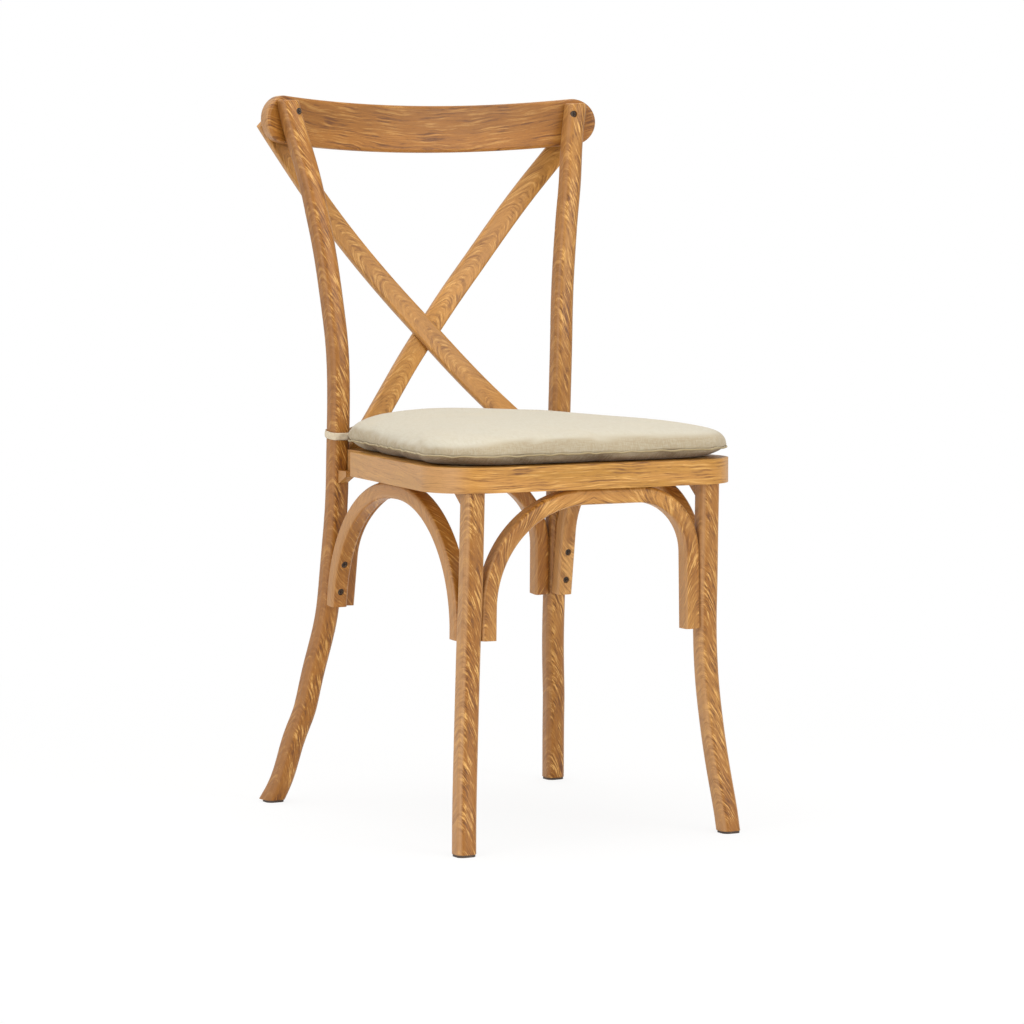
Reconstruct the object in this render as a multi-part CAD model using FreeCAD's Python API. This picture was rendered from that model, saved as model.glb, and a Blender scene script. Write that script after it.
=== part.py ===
import FreeCAD, Part
import math
import os

# Cross back dining chair of bent oak, with a tied seat cushion.
# The origin is on the floor under the middle of the chair's own box.
# The sitter faces -Y, +X is the left hand of the sitter's view from the front, +Z is up.

V = FreeCAD.Vector

# Driving sizes, in millimetres

# Stock of the four uprights
legStock = 26.0          # square stock of posts and legs
legEdge = 9.0            # rounding of its long edges
postTopZ = 892.5         # top of the rear posts
glideHeight = 3.0        # plastic glide under each foot
glideInset = 1.0         # glide stays this far inside the foot's outline

# Floor plan of the feet, measured to the middle of each foot
frontFootX = 182.2
rearFootX = 205.4
footSpanY = 485.2        # from front feet to rear feet

# Seat
seatTopZ = 456.5         # top of the seat ring
ringHeight = 30.0
ringBand = 45.0          # width of the bent ring seen from above
ringFrontX = 212.6       # half width at the front, before the bends
ringRearX = 163.0        # half width at the rear
ringFrontOverhang = 1.5  # ring stands this far ahead of the front feet's middle
ringFrontBend = 60.0     # outer radius of the front corners
ringRearBend = 12.0      # outer radius of the rear corners, before the notches
ringInnerBend = 16.0     # radius inside the ring's corners
ringRearSet = 96.7       # ring's rear face ahead of the rear feet's middle
notchLength = 48.0       # shallow recess ahead of each post
notchDepth = 20.0
cutSpare = 1.0           # cutters stand this far past the faces they cut
panelThickness = 9.0     # plywood seat panel let into the ring
panelRebate = 12.0       # width of the step that carries it
jointGap = 0.2           # glue gap of let-in joints
closeEnough = 1e-6

# Front legs and rear posts: how far the middle line stands from the seat level line
frontLegSeatX = 160.6
frontLegSeatSet = 18.5   # behind the front feet's middle, at the seat
tenonRadius = 10.0
tenonLength = 20.0
postSeatX = 158.5
postSeatSet = 99.0       # ahead of the rear feet's middle, at the seat
postTopX = 206.3
postTopSet = 54.4        # ahead of the rear feet's middle, at the top
postTopEdge = 2.5        # rounding round the top of the post

# Arches under the seat, each bent by hand and so a little uneven
archThickness = 20.0
archDepth = 22.0
archEdge = 5.0
archBite = 0.4           # legs are planed this much to sit on the uprights
frontArchBends = (140.0, 84.0)   # outer radii of the bends, left and right
rearArchBends = (112.0, 112.0)
leftArchBends = (165.0, 178.0)   # front and rear
rightArchBends = (120.0, 98.0)
archFootZ = 250.5        # lower ends of the arch legs at the front legs
archRearFootZ = 259.5    # lower ends at the rear posts
rearArchLean = 5.5       # degrees that the rear arch leans with the posts

# Wedge blocks under the ring beside each upright
blockLength = 20.0
blockHeight = 19.0
blockWidth = 14.0
blockNose = 3.0          # height of a block at its thin end
rearBlockHeight = 12.0
rearBlockWidth = 12.0
rearBlockRise = 4.0      # the rear blocks stand up into the notches

# Crest rail
railHeight = 60.0
railThickness = 20.0
railHalfLength = 236.0
railEndTopZ = 898.5      # top edge at the posts
railSag = 10.5           # middle of the top edge below its ends
railBow = 28.0           # middle of the rail behind the posts' line
railBowAtX = 200.0       # half distance over which that bow is measured
railEndBend = 29.0
railEdge = 4.0
railBite = 1.0           # posts are let into the rail this far

# Crossed slats
slatWidth = 29.5
slatThickness = 9.0
slatEdge = 3.0
slatBite = 0.6           # slats are let into rail and ring this far
slatCrossZ = 596.0
slatCrossSet = 35.6      # ahead of the rear feet's middle, at the crossing
slatTopX = 226.0
slatTopZ = 868.5
slatFootX = 139.0
slatFootDrop = 13.0      # the slat's middle line ends this far below the ring's top
slatEndZ = 432.5         # level cut of the slat's lower end
slatTwistPart = 0.62     # part of the length over which a slat turns to the rail
slatTwistCurve = 3       # higher keeps it turned for longer
slatScrewInset = 8.0     # upper screw inside the slat's end
slatScrewX = 128.0       # lower screws
slatScrewDrop = 8.0      # below the ring's top

# Screws
screwRadius = 2.0
screwHeadRadius = 4.0
screwHeadHeight = 2.6
screwSink = 1.6          # head lies this far under the wood
screwHoleGap = 0.1       # radial play of the shank in its hole
screwHeadGap = 0.4       # radial play of the head in its recess
holeLead = 6.0           # a hole's cutter starts this far out of the wood
screwGrip = 13.0         # depth of shank in the far piece
driveSlot = 1.0          # width of the cross recess
driveArm = 4.8           # its length
driveDepth = 1.5
archScrewLowZ = 277.9
archScrewHighZ = 314.1
archScrewRise = 18.0     # first screw above the lower end of an arch leg
crownScrewX = 14.0       # crown screws each side of the middle
crownScrewLean = 15.0    # degrees that those of the rear arch lean ahead
crownScrewInset = 5.5    # where they enter the ring, inside its rear face
postScrewSpread = 7.0    # seat ring screws above and below the ring's middle
railScrewDrop = 14.0     # screw of a post and the rail, below the post's top
railScrewIn = 7.0        # and this far to the middle of the chair
railGrip = 12.0          # depth of shank in the rail
panelScrewRadius = 1.7
panelScrewLength = 16.0
nailRadius = 1.2
nailLength = 15.0
nailHeadRadius = 3.0
nailHeadHeight = 0.8

# Cushion
cushionWall = 30.0       # height of the side band
cushionCrown = 17.0      # top stands this far above the side band
cushionInset = 3.0       # inside the ring's outline
cushionRearX = 157.0
cushionRearInset = 6.0
cushionFrontBend = 56.0
cushionRearBend = 34.0
cushionLeastBend = 8.0
cushionPull = 4.0        # sides draw in this much at the seams
coverThickness = 1.6
foamGap = 0.4

# Rows of the pad: share of the wall's height, and share of the pull at the seams
padBand = [(0.0, 2.5), (0.22, 0.6), (0.5, 0.0), (0.8, 0.35), (1.0, 1.0)]
# Rows of its top: share of the crown's height, and distance inside the outline
padCrown = [(0.0, 4.0), (0.42, 20.0), (0.78, 55.0), (0.97, 100.0), (1.0, 125.0)]

# Ties of the cushion
tieWidth = 9.0
tieThickness = 1.4
tieGap = 0.4
tieFrontZ = 472.5        # height of the tie at the front of the post
tieSlope = 26.0          # degrees that the tie climbs to the back of the post
tieTail = 6.0            # free length towards the cushion
tieBlank = 120.0         # height of the tube the tie is cut from

# Sizes that follow from the ones above
frontFootY = -footSpanY / 2
rearFootY = footSpanY / 2
ringBaseZ = seatTopZ - ringHeight
ringFrontY = frontFootY - ringFrontOverhang
ringRearY = rearFootY - ringRearSet
legSeatY = frontFootY + frontLegSeatSet
postSeatY = rearFootY - postSeatSet
postTopY = rearFootY - postTopSet
half = legStock / 2
sides = {"left": -1, "right": 1}

# Middle lines: each point is a height with its X and Y measured from the seat point
# and from the foot, as shares that stay put when a height or a width is changed
frontLegLine = [
    (0.000, 1.000, 1.000),
    (0.100, 0.815, 0.627),
    (0.193, 0.616, 0.265),
    (0.287, 0.435, -0.016),
    (0.381, 0.278, -0.243),
    (0.475, 0.162, -0.368),
    (0.592, 0.079, -0.384),
    (0.709, 0.042, -0.243),
    (0.850, 0.019, -0.124),
    (1.000, 0.000, 0.000),
]
postFootLine = [
    (0.000, 1.000, 1.000),
    (0.137, 0.723, 0.758),
    (0.225, 0.565, 0.615),
    (0.312, 0.416, 0.493),
    (0.378, 0.320, 0.423),
    (0.444, 0.228, 0.341),
    (0.487, 0.166, 0.281),
    (0.575, 0.100, 0.204),
    (0.663, 0.062, 0.146),
    (0.750, 0.032, 0.095),
    (0.838, 0.006, 0.047),
    (0.926, 0.002, 0.017),
    (1.000, 0.000, 0.000),
]
postBackLine = [
    (0.151, 0.002, -0.067),
    (0.243, 0.019, -0.081),
    (0.335, 0.063, -0.038),
    (0.427, 0.132, 0.061),
    (0.518, 0.218, 0.144),
    (0.610, 0.329, 0.244),
    (0.702, 0.467, 0.348),
    (0.839, 0.693, 0.619),
    (0.908, 0.831, 0.778),
    (1.000, 1.000, 1.000),
]

# Middle line of a slat: shares of the height and the width that lead from the crossing to
# an end, how far it swells to the rear there, and how much of its layer's shift it keeps
slatUpperLine = [
    (1.000, 1.000, 0.0, 0.0),
    (0.916, 0.920, 5.6, 0.0),
    (0.831, 0.838, 9.3, 0.0),
    (0.685, 0.694, 17.5, 0.0),
    (0.538, 0.550, 20.4, 0.0),
    (0.391, 0.404, 19.2, 0.1),
    (0.244, 0.255, 14.7, 0.5),
    (0.098, 0.103, 7.4, 0.9),
]
slatLowerLine = [
    (0.000, 0.000, 0.0, 1.0),
    (0.154, 0.150, 2.8, 0.9),
    (0.285, 0.279, 3.4, 0.6),
    (0.416, 0.409, 2.9, 0.3),
    (0.547, 0.542, 1.3, 0.1),
    (0.679, 0.676, -2.2, 0.0),
    (0.810, 0.812, -6.3, 0.0),
    (0.908, 0.912, -4.9, 0.0),
    (1.000, 1.000, 0.0, 0.0),
]

# Sections along the bent pieces
legSections = 13
postSections = 21
slatSections = 13
stubShare = 0.5          # middle lines run on past a level cut by this share of a step

xAxis = V(1, 0, 0)
yAxis = V(0, 1, 0)
zAxis = V(0, 0, 1)


def frame_along(tangent, across):
    """Two unit vectors square to the tangent, the first as near as possible to across."""
    t = V(tangent).normalize()
    u = V(across) - t * V(across).dot(t)
    u.normalize()
    return u, t.cross(u)


def rounded_wire(centre, u, v, width, depth, radius):
    """A rounded rectangle round centre, width along u and depth along v."""
    a = width / 2
    b = depth / 2
    s = math.sqrt(0.5)
    edges = []
    corners = [(1, 1), (-1, 1), (-1, -1), (1, -1)]
    for i, (sx, sy) in enumerate(corners):
        middle = centre + u * (sx * (a - radius)) + v * (sy * (b - radius))
        if sx == sy:
            start = middle + u * (sx * radius)
            end = middle + v * (sy * radius)
        else:
            start = middle + v * (sy * radius)
            end = middle + u * (sx * radius)
        bend = middle + u * (sx * radius * s) + v * (sy * radius * s)
        nx, ny = corners[(i + 1) % 4]
        after = centre + u * (nx * (a - radius)) + v * (ny * (b - radius))
        if nx == ny:
            after = after + u * (nx * radius)
        else:
            after = after + v * (ny * radius)
        edges.append(Part.Arc(start, bend, end).toShape())
        edges.append(Part.LineSegment(end, after).toShape())
    return Part.Wire(edges)


def bent_bar(points, across, width, depth, radius, sections):
    """A bar of rounded rectangular section along a smooth line through the points."""
    line = Part.BSplineCurve()
    line.interpolate(points)
    first = line.FirstParameter
    last = line.LastParameter
    wires = []
    for i in range(sections):
        at = first + (last - first) * i / (sections - 1)
        u, v = frame_along(line.tangent(at)[0], across)
        wires.append(rounded_wire(line.value(at), u, v, width, depth, radius))
    return Part.makeLoft(wires, True, False)


def outline(corners, z):
    """A closed flat wire at height z through corners (x, y, radius)."""
    count = len(corners)
    edges = []
    joints = []
    for i in range(count):
        x, y, radius = corners[i]
        here = V(x, y, z)
        before = V(corners[i - 1][0], corners[i - 1][1], z) - here
        after = V(corners[(i + 1) % count][0], corners[(i + 1) % count][1], z) - here
        before.normalize()
        after.normalize()
        angle = before.getAngle(after)
        reach = radius / math.tan(angle / 2)
        start = here + before * reach
        end = here + after * reach
        towards = (before + after).normalize()
        bend = here + towards * (radius / math.sin(angle / 2) - radius)
        joints.append((start, bend, end))
    for i in range(count):
        start, bend, end = joints[i]
        following = joints[(i + 1) % count][0]
        edges.append(Part.Arc(start, bend, end).toShape())
        if end.distanceToPoint(following) > closeEnough:
            edges.append(Part.LineSegment(end, following).toShape())
    return Part.Wire(edges)


def slab(corners, z, height):
    """A flat board with the given outline."""
    return Part.Face(outline(corners, z)).extrude(V(0, 0, height))


def box_between(low, high):
    return Part.makeBox(high[0] - low[0], high[1] - low[1], high[2] - low[2], V(*low))


def above_floor(shape, bottom, top):
    """What lies between two heights."""
    reach = postTopZ
    return shape.common(box_between((-reach, -reach, bottom), (reach, reach, top)))


def rod(start, direction, radius, length):
    return Part.makeCylinder(radius, length, start, V(direction))


def one_solid(shape):
    """The single solid of a boolean's result."""
    return max(shape.Solids, key=lambda solid: solid.Volume)


def cut_all(shape, cutters):
    return one_solid(shape.cut(Part.makeCompound(cutters)))


# Uprights

def run_on(points):
    """The middle line with a stub past each end, for a level cut."""
    stub = points[0] + (points[0] - points[1]) * stubShare
    head = points[-1] + (points[-1] - points[-2]) * stubShare
    return [stub] + points + [head]


def leg_points(side):
    """Middle line of a front leg, from under the floor to above the ring's base."""
    points = []
    for level, out, ahead in frontLegLine:
        x = frontLegSeatX + (frontFootX - frontLegSeatX) * out
        y = legSeatY + (frontFootY - legSeatY) * ahead
        points.append(V(side * x, y, ringBaseZ * level))
    return run_on(points)


def post_points(side):
    """Middle line of a rear post, from under the floor to above its top."""
    points = []
    for level, out, back in postFootLine:
        x = postSeatX + (rearFootX - postSeatX) * out
        y = postSeatY + (rearFootY - postSeatY) * back
        points.append(V(side * x, y, seatTopZ * level))
    for level, out, back in postBackLine:
        x = postSeatX + (postTopX - postSeatX) * out
        y = postSeatY + (postTopY - postSeatY) * back
        points.append(V(side * x, y, seatTopZ + (postTopZ - seatTopZ) * level))
    return run_on(points)


def point_at(points, z):
    """The place of a middle line at height z, on the smooth line through its points."""
    line = Part.BSplineCurve()
    line.interpolate(points)
    low = line.FirstParameter
    high = line.LastParameter
    for _ in range(40):
        middle = (low + high) / 2
        if line.value(middle).z < z:
            low = middle
        else:
            high = middle
    return line.value(low), V(line.tangent(low)[0])


def raw_leg(side):
    bar = bent_bar(leg_points(side), xAxis, legStock, legStock, legEdge, legSections)
    return one_solid(above_floor(bar, glideHeight, ringBaseZ))


def raw_post(side):
    bar = bent_bar(post_points(side), xAxis, legStock, legStock, legEdge, postSections)
    post = one_solid(above_floor(bar, glideHeight, postTopZ))
    rim = [e for e in post.Edges if min(v.Point.z for v in e.Vertexes) > postTopZ - closeEnough]
    return one_solid(post.makeFillet(postTopEdge, rim))


def tenon(side):
    return rod(V(side * frontLegSeatX, legSeatY, ringBaseZ), V(0, 0, 1), tenonRadius, tenonLength)


def foot_glide(points):
    """A plastic glide in the outline of the foot above it."""
    place, _ = point_at(points, glideHeight)
    size = legStock - 2 * glideInset
    wire = rounded_wire(V(place.x, place.y, 0), V(1, 0, 0), V(0, 1, 0), size, size, legEdge - glideInset)
    glide = Part.Face(wire).extrude(V(0, 0, glideHeight))
    sink = rod(V(place.x, place.y, 0), V(0, 0, 1), nailHeadRadius + screwHeadGap, nailHeadHeight * 2)
    hole = rod(V(place.x, place.y, 0), V(0, 0, 1), nailRadius + screwHoleGap, glideHeight)
    return one_solid(glide.cut(Part.makeCompound([sink, hole])))


def glide_nail(points, grow):
    """The nail of a glide, or with grow its hole."""
    place, _ = point_at(points, glideHeight)
    base = V(place.x, place.y, nailHeadHeight)
    shank = rod(base, V(0, 0, 1), nailRadius + grow, nailLength + grow)
    if grow:
        return shank
    head = rod(base, V(0, 0, 1), nailHeadRadius, nailHeadHeight)
    return one_solid(head.fuse(shank))


# Seat

def ring_side_x(y):
    """Half width of the ring's straight side at y."""
    share = (y - ringFrontY) / (ringRearY - ringFrontY)
    return ringFrontX + (ringRearX - ringFrontX) * share


def ring_corners(inset, frontBend, rearBend):
    """Outline of the ring, drawn in by inset."""
    frontY = ringFrontY + inset
    rearY = ringRearY - inset
    frontX = ring_side_x(frontY) - inset
    rearX = ring_side_x(rearY) - inset
    return [
        (-frontX, frontY, frontBend),
        (frontX, frontY, frontBend),
        (rearX, rearY, rearBend),
        (-rearX, rearY, rearBend),
    ]


def post_pocket(side):
    """The corner notch that takes a post, with the shallow recess ahead of it."""
    reach = ringFrontX * 2
    floorX = postSeatX - half - jointGap
    pocketY = postSeatY - half - jointGap
    recessX = ring_side_x(pocketY - notchLength) - notchDepth
    low = ringBaseZ - cutSpare
    high = seatTopZ + cutSpare
    pocket = box_between((floorX, pocketY, low), (reach, ringRearY + cutSpare, high))
    recess = box_between((recessX, pocketY - notchLength, low), (reach, pocketY + cutSpare, high))
    shape = one_solid(pocket.fuse(recess))
    if side < 0:
        shape = shape.mirror(V(0, 0, 0), V(1, 0, 0))
    return shape


def raw_ring():
    outer = slab(ring_corners(0, ringFrontBend, ringRearBend), ringBaseZ, ringHeight)
    inner = slab(ring_corners(ringBand, ringInnerBend, ringInnerBend), ringBaseZ, ringHeight)
    step = ringBand - panelRebate
    rebate = slab(ring_corners(step, ringInnerBend, ringInnerBend), seatTopZ - panelThickness, panelThickness)
    ring = outer.cut(Part.makeCompound([inner, rebate]))
    cuts = [post_pocket(side) for side in sides.values()]
    for side in sides.values():
        hole = tenonRadius + jointGap
        start = V(side * frontLegSeatX, legSeatY, ringBaseZ)
        cuts.append(rod(start, V(0, 0, 1), hole, tenonLength + jointGap))
    return cut_all(ring, cuts)


def seat_panel():
    inset = ringBand - panelRebate + jointGap
    corners = ring_corners(inset, ringInnerBend - jointGap, ringInnerBend - jointGap)
    return slab(corners, seatTopZ - panelThickness, panelThickness)


# Arches, each first drawn in the XZ plane with its middle at x = 0

def rounded_path(points, radii):
    """An open wire through the points, with an arc of its own radius at each inner point."""
    edges = []
    start = points[0]
    for before, here, after, radius in zip(points, points[1:], points[2:], radii):
        back = (before - here).normalize()
        ahead = (after - here).normalize()
        angle = back.getAngle(ahead)
        reach = radius / math.tan(angle / 2)
        towards = (back + ahead).normalize()
        bend = here + towards * (radius / math.sin(angle / 2) - radius)
        edges.append(Part.LineSegment(start, here + back * reach).toShape())
        edges.append(Part.Arc(here + back * reach, bend, here + ahead * reach).toShape())
        start = here + ahead * reach
    edges.append(Part.LineSegment(start, points[-1]).toShape())
    return Part.Wire(edges)


def leg_place(end, z, inset):
    """A point of an arch's leg at height z, inset from the upright's face."""
    sign, face, lean, _, _ = end
    x = face + (archScrewLowZ - z) * math.tan(lean) - inset / math.cos(lean)
    return V(sign * x, 0, z)


def arch_blank(ends, top):
    """An arch of rounded bar: two legs, two bends and a flat crown, centred on y = 0."""
    middle = archThickness / 2
    crownZ = top - middle
    left, right = ends
    points = [
        leg_place(left, left[3], middle),
        leg_place(left, crownZ, middle),
        leg_place(right, crownZ, middle),
        leg_place(right, right[3], middle),
    ]
    path = rounded_path(points, (left[4] - middle, right[4] - middle))
    along = (points[1] - points[0]).normalize()
    section = rounded_wire(points[0], along.cross(yAxis), yAxis, archThickness, archDepth, archEdge)
    return path.makePipeShell([section], True, False)


def arch_ends(first, second, bends):
    """The two legs of an arch: side, face, lean, lower end and radius of the bend."""
    return [(-1, *first, bends[0]), (1, *second, bends[1])]


def arch_places():
    """For each arch: its two ends, its top and where it stands."""
    low, slope = point_at(leg_points(1), archScrewLowZ)
    rearLow, rearSlope = point_at(post_points(1), archScrewLowZ)
    legOut = math.atan(-slope.x / slope.z)
    legBack = math.atan(slope.y / slope.z)
    postOut = math.atan(-rearSlope.x / rearSlope.z)
    postBack = math.atan(-rearSlope.y / rearSlope.z)
    sideMiddle = (low.y + rearLow.y) / 2
    sideHalf = (rearLow.y - low.y) / 2
    frontFace = low.x - half + archBite
    rearFace = rearLow.x - half + archBite
    sideFace = sideHalf - half + archBite
    leaned = math.radians(rearArchLean)
    rearTop = ringBaseZ / math.cos(leaned) + archDepth / 2 * math.tan(leaned)
    rearFootY = rearLow.y + math.tan(leaned) * archScrewLowZ
    turn = FreeCAD.Rotation(zAxis, 90)
    level = FreeCAD.Rotation()
    back = FreeCAD.Rotation(xAxis, rearArchLean)
    fronts = (frontFace, legOut, archFootZ)
    rears = (rearFace, postOut, archRearFootZ)
    legs = (sideFace, legBack, archFootZ)
    posts = (sideFace, postBack, archRearFootZ)
    return {
        "arch_front": (arch_ends(fronts, fronts, frontArchBends), ringBaseZ, V(0, low.y, 0), level),
        "arch_rear": (arch_ends(rears, rears, rearArchBends), rearTop, V(0, rearFootY, 0), back),
        "arch_left": (arch_ends(legs, posts, leftArchBends), ringBaseZ, V(-low.x, sideMiddle, 0), turn),
        "arch_right": (arch_ends(legs, posts, rightArchBends), ringBaseZ, V(low.x, sideMiddle, 0), turn),
    }


def raw_arches(uprights):
    arches = {}
    for name, (ends, top, base, turn) in arch_places().items():
        arch = arch_blank(ends, top)
        arch.Placement = FreeCAD.Placement(base, turn)
        arch = above_floor(arch, glideHeight, ringBaseZ)
        arches[name] = cut_all(arch, uprights)
    return arches


def wedge(x, y, towards, width, height, rise):
    """A block that leaves the upright's face at y and thins away from it."""
    low = x - width / 2
    points = [
        V(low, y - towards * legEdge, ringBaseZ + rise),
        V(low, y + towards * blockLength, ringBaseZ + rise),
        V(low, y + towards * blockLength, ringBaseZ - blockNose),
        V(low, y, ringBaseZ - height),
        V(low, y - towards * legEdge, ringBaseZ - height),
    ]
    return Part.Face(Part.makePolygon(points + [points[0]])).extrude(V(width, 0, 0))


def blocks(uprights):
    """Wedge blocks behind the front legs, and ahead of the posts in the ring's recesses."""
    floorX = ring_side_x(postSeatY - half - notchLength) - notchDepth
    rearX = floorX + jointGap + rearBlockWidth / 2
    made = {}
    for name, side in sides.items():
        front = wedge(side * frontLegSeatX, legSeatY + half, 1, blockWidth, blockHeight, 0)
        made["front_block_" + name] = cut_all(front, uprights)
        rear = wedge(side * rearX, postSeatY - half, -1, rearBlockWidth, rearBlockHeight, rearBlockRise)
        made["rear_block_" + name] = cut_all(rear, uprights)
    return made


# Back

def rail_radius():
    return (railBowAtX ** 2 + railBow ** 2) / (2 * railBow)


def rail_front_y():
    """Front of the rail at its middle, so that it meets the backs of the posts."""
    place, _ = point_at(post_points(1), postTopZ - railHeight / 2)
    radius = rail_radius()
    drop = radius - math.sqrt(radius ** 2 - place.x ** 2)
    return place.y + half - railBite + drop


def arc_through(a, b, c):
    return Part.Arc(V(*a), V(*b), V(*c)).toShape()


def rail_blank():
    """The bowed rail: a curved plank seen from above, trimmed to its outline from the front."""
    radius = rail_radius()
    front = rail_front_y()
    endX = railHalfLength
    reach = endX + railThickness / 2
    fall = radius - math.sqrt(radius ** 2 - reach ** 2)
    outer = radius + railThickness
    outerX = reach * outer / radius
    outerFall = outer - math.sqrt(outer ** 2 - outerX ** 2)
    back = front + railThickness
    plan = Part.Wire([
        arc_through((-reach, front - fall, 0), (0, front, 0), (reach, front - fall, 0)),
        Part.LineSegment(V(reach, front - fall, 0), V(outerX, back - outerFall, 0)).toShape(),
        arc_through((outerX, back - outerFall, 0), (0, back, 0), (-outerX, back - outerFall, 0)),
        Part.LineSegment(V(-outerX, back - outerFall, 0), V(-reach, front - fall, 0)).toShape(),
    ])
    plank = Part.Face(plan).extrude(V(0, 0, railEndTopZ + cutSpare))
    topZ = railEndTopZ
    lowZ = railEndTopZ - railHeight
    bendX = endX - railEndBend
    middleZ = (topZ + lowZ) / 2
    face = Part.Wire([
        arc_through((-bendX, 0, topZ), (0, 0, topZ - railSag), (bendX, 0, topZ)),
        arc_through((bendX, 0, topZ), (endX, 0, middleZ), (bendX, 0, lowZ)),
        arc_through((bendX, 0, lowZ), (0, 0, lowZ - railSag), (-bendX, 0, lowZ)),
        arc_through((-bendX, 0, lowZ), (-endX, 0, middleZ), (-bendX, 0, topZ)),
    ])
    trim = Part.Face(face).extrude(V(0, postTopZ, 0))
    rail = one_solid(plank.common(trim))
    return one_solid(rail.makeFillet(railEdge, rail.Edges))


def rail_back_y(x):
    radius = rail_radius() + railThickness
    return rail_front_y() + railThickness - (radius - math.sqrt(radius ** 2 - x ** 2))


def slat_points(side, layer):
    """Middle line of the slat that rises to the given side; layer is -1 ahead and 1 behind."""
    step = slatThickness / 2
    crossY = rearFootY - slatCrossSet
    topY = rail_back_y(slatTopX) + step - slatBite
    footY = ringRearY + step - slatBite
    footZ = seatTopZ - slatFootDrop
    points = []
    for line, endX, endY, endZ in (
            (slatUpperLine, side * slatTopX, topY, slatTopZ),
            (slatLowerLine, -side * slatFootX, footY, footZ)):
        for level, out, swell, kept in line:
            y = crossY + (endY - crossY) * level + swell + layer * step * kept
            points.append(V(endX * out, y, slatCrossZ + (endZ - slatCrossZ) * level))
    tail = points[-1] + (points[-1] - points[-2])
    return points + [tail]


def raw_slat(side, layer):
    """A bent slat, wide across the back and thin from front to back."""
    line = Part.BSplineCurve()
    line.interpolate(slat_points(side, layer))
    first = line.FirstParameter
    last = line.LastParameter
    turn = math.asin(slatTopX / (rail_radius() + railThickness))
    wires = []
    for i in range(slatSections):
        share = i / (slatSections - 1)
        at = first + (last - first) * share
        facing = turn * max(0.0, 1 - (share / slatTwistPart) ** slatTwistCurve)
        normal = V(-side * math.sin(facing), -math.cos(facing), 0)
        v, u = frame_along(line.tangent(at)[0], normal)
        wires.append(rounded_wire(line.value(at), u, v, slatWidth, slatThickness, slatEdge))
    bar = Part.makeLoft(wires, True, False)
    return one_solid(above_floor(bar, slatEndZ, railEndTopZ))


# Screws

def screw(place, direction, length, radius=screwRadius):
    """A round-headed screw with a cross recess: place is the wood's surface."""
    d = V(direction).normalize()
    scale = radius / screwRadius
    base = place + d * screwSink
    head = rod(base, d, screwHeadRadius * scale, screwHeadHeight)
    shank = rod(base, d, radius, length)
    u, v = frame_along(d, xAxis if abs(d.z) > abs(d.x) + abs(d.y) else zAxis)
    arm = driveArm * scale
    recess = []
    for a, b in ((u, v), (v, u)):
        corner = base - a * (arm / 2) - b * (driveSlot / 2)
        plate = Part.Face(Part.makePolygon([
            corner, corner + a * arm, corner + a * arm + b * driveSlot, corner + b * driveSlot, corner]))
        recess.append(plate.extrude(d * driveDepth))
    return one_solid(head.fuse(shank).cut(Part.makeCompound(recess)))


def screw_hole(place, direction, length, radius=screwRadius):
    """The recess and bore that the same screw needs."""
    d = V(direction).normalize()
    scale = radius / screwRadius
    clear = screwHeadRadius * scale + screwHeadGap
    head = rod(place - d * holeLead, d, clear, holeLead + screwSink + screwHeadHeight)
    shank = rod(place, d, radius + screwHoleGap, screwSink + length + screwHoleGap)
    return head.fuse(shank)


def face_ahead(shape, place, direction):
    """Where a line along direction, through place, first enters the shape."""
    reach = V(direction) * (legStock * 2)
    line = Part.makeLine(place - reach, place + reach)
    hits = [vertex.Point for vertex in shape.common(line).Vertexes]
    return min(hits, key=lambda point: (point - place).dot(direction))


def arch_screws(arches):
    """Two screws through each leg of the side arches; the other arches are glued on."""
    rows = []
    places = arch_places()
    for name in ("arch_left", "arch_right"):
        ends, _, base, turn = places[name]
        place = FreeCAD.Placement(base, turn)
        for end in ends:
            sign, _, lean, foot, _ = end
            outward = place.Rotation.multVec(V(sign * math.cos(lean), 0, math.sin(lean)))
            first = foot + archScrewRise
            for z in (first, first + archScrewHighZ - archScrewLowZ):
                straight = place.multVec(leg_place(end, z, archThickness))
                surface = face_ahead(arches[name], straight, outward)
                away = (straight - surface).dot(outward)
                rows.append((surface, outward, archThickness + away + screwGrip))
    return rows


def crown_screws():
    """Two screws up through the crown of each arch into the ring."""
    lean = math.radians(crownScrewLean)
    rows = []
    for name, (_, top, base, turn) in arch_places().items():
        place = FreeCAD.Placement(base, turn)
        for shift in (-crownScrewX, crownScrewX):
            p = place.multVec(V(shift, 0, top - archThickness))
            if name == "arch_rear":
                # this crown stands half behind the ring, so its screws lean ahead
                y = ringRearY - crownScrewInset + archThickness * math.tan(lean)
                under = p.z + (y - p.y) * math.tan(math.radians(rearArchLean))
                ahead = V(0, -math.sin(lean), math.cos(lean))
                rows.append((V(p.x, y, under), ahead, archThickness / math.cos(lean) + screwGrip))
            else:
                rows.append((V(p.x, p.y, ringBaseZ - archThickness), V(0, 0, 1), archThickness + screwGrip))
    return rows


def post_screws():
    """Two screws from inside the ring into each post."""
    rows = []
    y = postSeatY - half / 2
    innerX = ring_side_x(y) - ringBand
    reach = postSeatX - innerX
    for side in sides.values():
        for shift in (-postScrewSpread, postScrewSpread):
            z = ringBaseZ + (ringHeight - panelThickness) / 2 + shift
            rows.append((V(side * innerX, y, z), V(side, 0, 0), reach))
    return rows


def rail_screws():
    """One screw from the front of each post into the rail."""
    rows = []
    for side in sides.values():
        at, _ = point_at(post_points(side), postTopZ - railScrewDrop)
        surface = V(at.x - side * railScrewIn, at.y - half, at.z)
        rows.append((surface, yAxis, legStock + railGrip))
    return rows


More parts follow.
